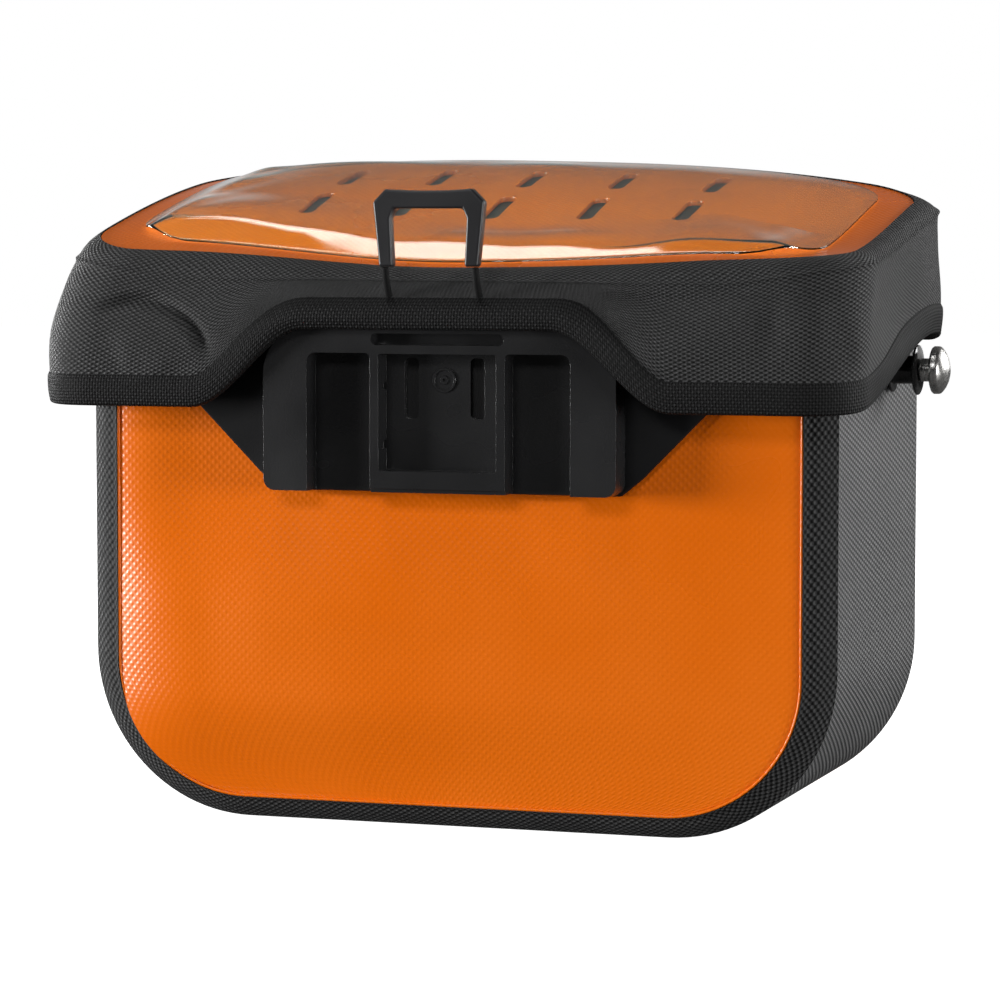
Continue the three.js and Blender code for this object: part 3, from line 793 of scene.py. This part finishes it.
def crown_z(x, y):
    """Height of the orange top: low and nearly level in front, domed and leaning at the rear."""
    across = np.abs(x) / CROWN["half_x"]
    along = np.clip((y - CROWN["front"]) / (CROWN["rear"] - CROWN["front"]), 0, 1)
    front = CROWN_FRONT_Z + 4.6 * smoothstep(np.abs(x) / 90) + 2.0 * across ** 4
    front = front - CROWN_RIGHT_DIP * smoothstep(x / 75)
    rear = CROWN_REAR_Z - CROWN_REAR_DROP * across ** 2.6 - 0.026 * x
    convex = 1 - (1 - along) ** CROWN_BEND
    late = 0.5 * (smoothstep(along) + along ** 1.7)
    right_end = smoothstep((x - 62) / 62)
    return lerp(front, rear, lerp(convex, late, right_end))


def hem_z(x, y):
    """Height of the skirt's lower edge: an arch over the housing, and a climb along the ends."""
    side = smoothstep((y - HEM_SIDE_START) / (HEM_SIDE_END - HEM_SIDE_START))
    arch = smoothstep((ARCH_OUTER - np.abs(x + 2.5)) / (ARCH_OUTER - ARCH_INNER))
    arch = np.where(y < HEM["front"] + 15, arch, 0.0)
    drop = HEM_CORNER_DROP * smoothstep((y - HEM_SIDE_END - 3) / 16)
    return HEM_FRONT_Z + ARCH_RISE * arch + (HEM_REAR_Z - HEM_FRONT_Z) * side - drop


fold_points, fold_normals = plan_loop(FOLD)
hem_points, hem_normals = plan_loop(HEM)
hem_points[:, 0] += HEM_SHIFT
right_end = smoothstep((hem_points[:, 0] - 95) / 30)


def skirt_dents(points):
    """Depth of the soft dents in the skirt, positive inwards, at drawing points (n, 3)."""
    x, y, z = points[:, 0], points[:, 1], points[:, 2]
    front = smoothstep((-62 - y) / 6)
    dent = np.zeros(len(points))
    # a crescent crease under the fold near the left corner, round a fuller patch
    round_x, round_z = x + 100, z - 137
    reach = np.hypot(round_x, round_z)
    turn = np.degrees(np.arctan2(round_z, round_x))
    crescent = smoothstep((turn - 14) / 26) * smoothstep((124 - turn) / 24)
    dent += (2.9 * bell(reach - 27.5, 3.2) - 1.1 * bell(reach - 12, 12)) * crescent * front
    # the fabric draws in just under the fold
    dent += 0.7 * bell(z - 166.5, 3.2) * front
    # a long hollow under the fold, right of the pull loop, and a fuller patch under it
    dent += 1.9 * bell(z - (164.5 - 0.05 * np.abs(x - 62)), 4.6) * bell(x - 66, 34) * front
    dent -= 0.9 * bell(z - 150, 9) * bell(x - 78, 20) * front
    # a soft upright ridge just left of the right corner
    dent += 1.1 * (bell(x - 106, 6.0) - bell(x - 118, 6.0)) * bell(z - 158, 14) * front
    # long low waves along the front and the ends
    dent += 0.5 * np.sin(x / 17.0 + 0.6) * bell(z - 152, 20) * front
    ends = smoothstep((np.abs(x) - 124) / 6) * (1 - front)
    dent += 0.8 * bell(z - (160 + 0.12 * y), 16) * np.cos(y / 21.0) * ends
    dent += 0.3 * np.sin(y / 13.0 + z / 19.0) * ends
    return dent


def skirt_row(share, depth, proud=0.0):
    """Loop of points at a share of the way from fold to hem; share may vary round the loop."""
    share = np.broadcast_to(np.asarray(share, float), (len(hem_points),))
    out = 1 - (1 - share) ** 2
    z = lerp(
        fold_z(fold_points[:, 0], fold_points[:, 1]),
        hem_z(hem_points[:, 0], hem_points[:, 1]),
        share,
    )
    flat = lerp(fold_points, hem_points, out[:, None])
    surface = np.column_stack([flat, z])
    free = smoothstep(share / 0.12) * smoothstep((1.0 - share) / 0.2)
    puff = SKIRT_PUFF * (1 - right_end) * np.sin(np.pi * share)
    offset = puff + proud - depth - skirt_dents(surface) * free
    surface[:, :2] += hem_normals * offset[:, None]
    return surface


def binding_share():
    """Where the tape's upper edge lies, for a tape of one width along a hem that rises and falls."""
    top = fold_z(fold_points[:, 0], fold_points[:, 1])
    bottom = hem_z(hem_points[:, 0], hem_points[:, 1])
    ahead = np.roll(hem_points, -1, axis=0) - np.roll(hem_points, 1, axis=0)
    run = np.linalg.norm(ahead, axis=1)
    slope = (np.roll(bottom, -1) - np.roll(bottom, 1)) / run
    return 1 - BINDING_HEIGHT * np.sqrt(1 + slope ** 2) / (top - bottom)


def lid_fabric():
    """Band and skirt in one: from the orange edge over the soft fold and down to the hem."""
    edge, _ = plan_loop(CROWN, GAP)
    crown = np.column_stack([edge, crown_z(edge[:, 0], edge[:, 1])])
    fold = np.column_stack([fold_points, fold_z(fold_points[:, 0], fold_points[:, 1])])
    rows = []
    lip = crown.copy()
    lip[:, 2] += 0.5
    for share in np.linspace(1, 0, 16)[:-1]:
        row = lerp(fold, lip, share)
        puff = BAND_PUFF * math.sin(math.pi * share)
        row[:, :2] += fold_normals * puff
        row[:, 2] += puff
        rows.append(row)
    fold_row = len(rows)
    reach = binding_share() + 0.03
    levels = np.linspace(0, 1, 40)
    rows += [skirt_row(level * reach, 0) for level in levels]
    outer = np.array(rows)
    near = slice(fold_row - 6, fold_row + 7)
    before = outer[fold_row - 7:fold_row + 6]
    after = outer[fold_row - 5:fold_row + 8]
    outer[near] = 0.5 * outer[near] + 0.25 * (before + after)
    for step in range(-3, 4):
        outer[fold_row + step, :, :2] += fold_normals * FOLD_RIDGE * bell(step, 1.5)
    inner = []
    for level in levels[::-3]:
        inner.append(skirt_row(max(level, 0.12) * reach, SKIRT_THICKNESS))
    under = lerp(crown, fold, 0.5)
    under[:, 2] -= 3.0
    inner.append(under)
    tuck = crown.copy()
    tuck[:, 2] -= 2.0
    inner.append(tuck)
    grid = np.concatenate([outer, np.array(inner)])
    return looped("lid_fabric", grid, "black", 55)


def hem_binding():
    """Woven tape folded round the lower edge of the skirt."""
    share = binding_share()
    rows = []
    for level in np.linspace(0, 1, 9):
        at = lerp(share, 1.0, level)
        lip = 0.35 * math.sin(math.pi * level) - 0.45 * (level == 0)
        rows.append(skirt_row(at, 0, BINDING_PROUD + lip))
    bottom = skirt_row(1.0, 0)
    turns = 6
    radius = (SKIRT_THICKNESS + BINDING_PROUD) / 2
    for k in range(1, turns):
        angle = math.pi * k / turns
        row = skirt_row(1.0, radius - BINDING_PROUD - radius * math.cos(angle))
        row[:, 2] = bottom[:, 2] - 0.7 * math.sin(angle)
        rows.append(row)
    for level in np.linspace(1, 0, 5):
        rows.append(skirt_row(lerp(share, 1.0, level), SKIRT_THICKNESS + 0.3))
    return looped("hem_tape", np.array(rows), "tape", 50)


def hinge_flap():
    """Woven strip behind the bag that is the lid's hinge: sewn to the bag below, the hem above."""
    low, high = span("hinge_strip")
    bag_y = high[1] - 0.6
    lid_y = HEM["rear"] - SKIRT_THICKNESS - BINDING_PROUD - 1.6
    heights = np.linspace(low[2], HINGE_Z + 12, 34)
    out = smoothstep((heights - HINGE_Z + 4) / 8)
    x = np.linspace(low[0], high[0], 90)
    rows = []
    for z, share in zip(heights, out):
        y = lerp(bag_y, lid_y, share)
        rows.append(np.stack([x, np.full(len(x), y), np.full(len(x), z)], 1))
    inner = [row - np.array([0, FLAP_THICKNESS, 0]) for row in rows[::-1]]
    grid = np.array(rows + inner)
    return solid_strip("hinge_flap", grid, "black", flip=True)


def sheet_grid(outline, rows, columns, shape):
    """Points over a rounded rectangle seen from above: a square grid squeezed at the corners."""
    radius = outline["radius"]
    y_values = np.linspace(outline["front"], outline["rear"], rows)
    grid = np.zeros((rows, columns, 3))
    for i, y in enumerate(y_values):
        into = max(0.0, outline["front"] + radius - y, y - outline["rear"] + radius)
        half = outline["half_x"] - radius + math.sqrt(max(radius ** 2 - into ** 2, 0.0))
        x = np.linspace(-half, half, columns)
        bow = outline.get("bow", 0.0) * (x / outline["half_x"]) ** 2
        bowed = y + bow * (outline["rear"] - y) / (outline["rear"] - outline["front"])
        grid[i, :, 0] = x
        grid[i, :, 1] = bowed
        grid[i, :, 2] = shape(x, bowed)
    return grid


def sheet_solid(name, outline, rows, columns, shape, thickness, material, sharp=50.0):
    upper = sheet_grid(outline, rows, columns, shape)
    lower = upper.copy()
    lower[..., 2] -= thickness
    grid = np.concatenate([upper, lower[::-1]])
    return solid_strip(name, grid, material, flip=False, sharp=sharp)


def slot_tools():
    """Upright rounded slots, to be cut through the orange top."""
    half = SLOT["width"] / 2
    straight = SLOT["length"] / 2 - half
    reach = 14
    tools = []
    for y in SLOT["rows_y"]:
        for column in range(SLOT["columns"]):
            x = (column - (SLOT["columns"] - 1) / 2) * SLOT["pitch"]
            outline = outline_arc(x, y + straight, half, 0, 180, 12)
            outline += outline_arc(x, y - straight, half, 180, 360, 12)
            level = float(crown_z(np.array(x), np.array(y)))
            count = len(outline)
            points = [(px, py, level + dz) for dz in (-reach, reach) for px, py in outline]
            faces = [list(range(count))[::-1], list(range(count, 2 * count))]
            for j in range(count):
                k = (j + 1) % count
                faces.append((j, k, k + count, j + count))
            tools.append(new_object("slot_tool", points, faces, "orange"))
    return tools


def lid_top():
    thing = sheet_solid("orange_top", CROWN, 90, 150, crown_z, FABRIC, "orange")
    cut(thing, slot_tools())
    shade_by_angle(thing.data, 40)
    return thing


def lid_board():
    """Stiffener under the orange top, seen through its slots."""
    def shape(x, y):
        return crown_z(x, y) - FABRIC - GAP

    return sheet_solid("lid_board", BOARD, 40, 80, shape, BOARD_THICKNESS, "board")


def film_lift(x, y):
    """Height of the film over the orange top: welded at its rim, rolled up along the front."""
    front = FILM["front"] + FILM["bow"] * (x / FILM["half_x"]) ** 2
    from_front = y - front
    u = np.abs(x) / FILM["half_x"]
    v = (y - FILM["front"]) / (FILM["rear"] - FILM["front"])
    left = smoothstep((40 - x) / 110)
    rim = smoothstep((1 - u) / 0.13) * smoothstep((1.0 - v) / 0.16)
    ripple = 0.5 * np.sin(x / 13.0 + 0.7) + 0.35 * np.sin(x / 6.1 + 2.0)
    # the roll stands up from the front weld, higher at the left, and sinks behind its crest
    roll = lerp(2.6, 5.4, left) + ripple * lerp(0.9, 0.6, left)
    reach = np.maximum(roll, 1.0) / lerp(FACET_SLOPE, FACET_SLOPE_LEFT, left)
    rise = np.maximum(from_front, 0) / reach
    step = np.where(rise < 0.85, rise, 1 - 0.15 * np.exp(-(rise - 0.85) / 0.15))
    sink = smoothstep((from_front - reach - 3) / 36) * lerp(0.85, 0.6, left)
    waves = (
        0.45 * np.sin(x / 21.0 + 0.5 * np.sin(y / 17.0) + 0.4)
        + 0.22 * np.sin(x / 9.7 + y / 23.0)
        + 0.22 * np.sin(y / 13.0 - x / 35.0 + 1.0)
    )
    # one patch right of the middle clings to the fabric, and fine folds fan out at the ends
    cling = bell(x - 24, 60) * bell(y + 30, 22)
    fan = 0.2 * bell(u - 0.86, 0.12) * np.sin(y / 5.2 + 0.12 * np.abs(x))
    lift = roll * step * (1 - sink) * (1 - 0.75 * cling)
    lift += waves * smoothstep(from_front / 18) + fan
    return 0.15 + rim * np.maximum(lift, 0.25 * step)


def window_film():
    def shape(x, y):
        return crown_z(x, y) + film_lift(x, y) + FILM_THICKNESS

    thing = sheet_solid(
        "map_window", FILM, 150, 220, shape, FILM_THICKNESS * 0.7, "film", 60
    )
    thing.visible_shadow = False
    return thing


# ------------------------------------------------------------------ mount
def mount_housing():
    low, high = span("mount_housing")
    half = high[0]
    bottom, top = low[2], high[2]
    face, back = low[1], high[1]
    corner = 14.0
    foot = 3.6
    outline = (
        outline_arc(foot - half, bottom + foot, foot, 180, 270, 5)
        + outline_arc(half - foot, bottom + foot, foot, 270, 360, 5)
        + outline_arc(half - corner, top - corner, corner, 0, 90, 10)
        + outline_arc(corner - half, top - corner, corner, 90, 180, 10)
    )
    thing = prism("housing_shell", outline, face, back)
    channel = dict(inner=22.0, outer=43.0, top=148.9, floor=back - 1.8)
    recess = dict(half=19.2, bottom=112.4, top=148.7, floor=back - 2.4)
    guide = dict(x=10.8, half=2.3, bottom=128.4, top=147.4, floor=recess["floor"] + 1.8)
    notches = ((137.6, 139.8), (119.2, 121.9))  # bottom and top of each, in the recess's walls
    slit = dict(half=21.7, bottom=151.4, top=155.0, depth=5.9)
    cuts = []

    def pocket(x0, x1, z0, z1, radii, floor, start=face - 5):
        x0, x1 = sorted((x0, x1))
        cuts.append(prism("tool", rounded_box(x0, x1, z0, z1, radii), start, floor))

    square = (0,) * 4
    for side in (-1, 1):
        rounds = (0, 0, 1.5, 3) if side < 0 else (0, 0, 3, 1.5)
        inner, outer = side * channel["inner"], side * channel["outer"]
        pocket(inner, outer, bottom - 6, channel["top"], rounds, channel["floor"])
        x = side * guide["x"]
        half_guide = guide["half"]
        pocket(x - half_guide, x + half_guide, guide["bottom"], guide["top"], (1.6,) * 4, guide["floor"])
        wall = recess["half"]
        for z0, z1 in notches:
            pocket(side * (wall - 1), side * (wall + 0.9), z0, z1, square, recess["floor"], face + 1.6)
    half_recess = recess["half"]
    pocket(-half_recess, half_recess, recess["bottom"], recess["top"], (0.8,) * 4, recess["floor"])
    pocket(-slit["half"], slit["half"], slit["bottom"], slit["top"], (1.7,) * 4, face + slit["depth"])
    # the centre block's foot steps back below the recess
    pocket(-22.5, 22.5, bottom - 4, recess["bottom"] - 5.4, square, face + 0.9)
    cut(thing, cuts)
    bevel_edges(thing, 0.75)
    ring = mould_ring(recess["floor"])
    ring.parent = thing
    return thing


def mould_ring(floor):
    """Raised round mark on the recess floor: a plain ring with a dished button."""
    steps = 48
    height = 140.5
    profile = [(0.2, 3.9), (-0.35, 3.9), (-0.5, 3.7), (-0.5, 3.2), (-0.35, 3.0), (-0.1, 3.0),
               (-0.1, 1.5), (-0.4, 1.3), (-0.45, 0.5), (0.2, 0.5)]
    along, across, up = np.moveaxis(circles(profile, steps), 2, 0)
    grid = np.stack([across, floor + along, height + up], 2)
    faces, _ = quads(grid, range(len(profile) + 1), range(steps + 1), True)
    points = grid.reshape(-1, 3)
    return new_object("mould_mark", points, faces, "housing", sharp=30)


def base_plate():
    low, high = span("mount_base_plate")
    right = [(56, 105.4), (63, 111), (83, 131), (92, 136), (92, 150), (84, 158)]
    outline = right + [(-x, z) for x, z in right[::-1]]
    thing = prism("wing_plate", outline, low[1], high[1], "plate")
    bevel_edges(thing, 0.7)
    return thing


# ------------------------------------------------------------------ strap studs
STUD_PLACE = (15.0, 142.5)  # y and z of the studs' axis


def stud_base(side):
    profile = [
        (GAP, 2.4), (GAP, 6.8), (0.7, 7.2), (1.3, 7.0), (1.5, 6.0), (1.6, 4.9), (2.2, 4.5),
        (7.6, 4.5), (8.0, 5.0), (8.3, 6.6), (8.5, 7.7), (8.9, 8.0), (9.3, 7.95), (9.6, 7.4),
        (9.8, 5.0), (9.8, 2.4),
    ]
    name = f"stud_collar_{WORDS[side]}"
    return turned(name, profile, side, STUD_PLACE, "gloss")


def strap_stud(side):
    profile = [
        (-6.0, 1.9), (10.0, 1.9), (10.1, 3.5), (10.3, 3.7), (13.3, 3.7), (13.5, 4.0),
        (13.6, 6.4), (13.9, 7.2), (14.4, 7.6), (15.9, 7.6), (16.4, 7.45), (16.9, 7.0),
        (17.8, 5.8), (18.6, 4.2), (19.1, 2.4), (19.35, 0.6),
    ]
    name = f"strap_stud_{WORDS[side]}_detail"
    return turned(name, profile, side, STUD_PLACE, "steel", sharp=28)


# ------------------------------------------------------------------ pull loop
def pull_grip():
    low, high = span("pull_grip")
    half = high[0]
    bottom, top = low[2], high[2]
    bar, leg, chamfer = 6.0, 5.4, 4.0
    foot = half - 2.0
    inside = half - leg - 0.6
    top_curve = []
    steps = 12
    for k in range(steps + 1):
        x = lerp(half - chamfer, chamfer - half, k / steps)
        top_curve.append((x, top - 0.55 * (1 - (x / (half - chamfer)) ** 2)))
    outline = (
        [(-foot, bottom), (leg - 1.0 - foot, bottom)]
        + [(-inside - 0.3, top - bar - 3), (-inside + 1.0, top - bar)]
        + [(inside - 1.0, top - bar), (inside + 0.3, top - bar - 3)]
        + [(foot - leg + 1.0, bottom), (foot, bottom), (half, top - chamfer)]
        + top_curve
        + [(-half, top - chamfer)]
    )
    thing = prism("pull_handle", outline, low[1], high[1], "grip")
    bevel_edges(thing, 0.85)
    return thing


def tube(name, path, radius, material, sides=16, side=(1.0, 0.0, 0.0)):
    """Round cord along a path of drawing points; side is a direction the path never takes."""
    path = np.asarray(path, float)
    tangents = np.gradient(path, axis=0)
    tangents /= np.linalg.norm(tangents, axis=1)[:, None]
    rows = []
    for point, tangent in zip(path, tangents):
        other = np.cross(tangent, side)
        other /= np.linalg.norm(other)
        across = np.cross(other, tangent)
        ring = [
            point + radius * (math.cos(t) * across + math.sin(t) * other)
            for t in np.linspace(0, 2 * math.pi, sides, endpoint=False)
        ]
        rows.append(ring)
    return looped(name, np.array(rows), material, 60, ends=True)


def edge_welt(name, side):
    """Thin folded edge of the orange fabric along the inside of the border."""
    inset = WELT_RADIUS
    top = rim_z(side * PANEL_Y) - 1
    flat = u_path(PANEL_HALF - inset, BODY_CORNER - BORDER_SIDE, PANEL_BOTTOM + inset, top)
    depth = np.full(len(flat), side * (PANEL_Y + 0.35))
    path = np.column_stack([flat[:, 0], depth, flat[:, 1]])
    return tube(name, path, WELT_RADIUS, "orange", 10, (0.0, 1.0, 0.0))


def pull_cord(side):
    low, high = span("pull_cord_right")
    radius = 1.1
    x = side * (low[0] + high[0]) / 2
    foot = np.array([x, high[1] - radius, low[2]])
    head = np.array([x, low[1] + radius, high[2]])
    bow = np.array([x, lerp(foot[1], head[1], 0.75), lerp(foot[2], head[2], 0.45)])
    path = []
    for t in np.linspace(0, 1, 14):
        path.append((1 - t) ** 2 * foot + 2 * t * (1 - t) * bow + t * t * head)
    return tube(f"cord_{WORDS[side]}", path, radius, "cord")


# ------------------------------------------------------------------ assembly
def dress(node, material):
    """Gives a CAD node that stays visible its procedural material."""
    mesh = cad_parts[node].data
    mesh.materials.clear()
    mesh.materials.append(materials[material])
    shade_by_angle(mesh, 30)


def assemble():
    front = panel("front_fabric", -1, front_swell)
    back = panel("back_fabric", 1, back_swell)
    film = window_film()
    pieces = [
        (front, "bag", ["front_panel"]),
        (back, "bag", ["back_panel"]),
        (gusset(), "bag", ["gusset"]),
        (border("front_border", -1), "bag", ["front_seam_border"]),
        (border("back_border", 1), "bag", ["back_seam_border"]),
        (mount_housing(), "bag", ["mount_housing"]),
        (base_plate(), "bag", ["mount_base_plate"]),
        (lid_fabric(), "lid", ["lid_rim_band", "lid_skirt"]),
        (hem_binding(), "lid", ["lid_hem_binding"]),
        (lid_top(), "lid", ["lid_top_panel"]),
        (lid_board(), "lid", ["lid_stiffener_board"]),
        (film, "lid", ["window_film"]),
        (pull_grip(), "pull", ["pull_grip"]),
    ]
    for side, word in WORDS.items():
        pieces.append((stud_base(side), "bag", [f"strap_stud_base_{word}"]))
        pieces.append((strap_stud(side), "bag", [f"strap_stud_{word}"]))
        pieces.append((pull_cord(side), "pull", [f"pull_cord_{word}"]))
    for thing, body, nodes in pieces:
        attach(thing, body)
        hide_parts(*nodes)
    for name, side in (("front_welt", -1), ("back_welt", 1)):
        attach(edge_welt(name, side), "bag")
    flap = hinge_flap()
    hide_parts("hinge_strip")
    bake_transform(flap)
    for node in ("rim_frame", "front_stiffener_board", "back_stiffener_board"):
        dress(node, "board")
    for word in WORDS.values():
        dress(f"body_magnet_{word}", "magnet")
        dress(f"lid_magnet_{word}", "magnet")
        dress(f"strap_stud_nut_{word}", "screw")
    for number in (1, 2, 3, 4):
        dress(f"mount_screw_{number}", "screw")


bpy.context.scene.view_settings.view_transform = "Standard"
make_materials()
add_camera()
add_world()
add_floor()
add_lights()
assemble()
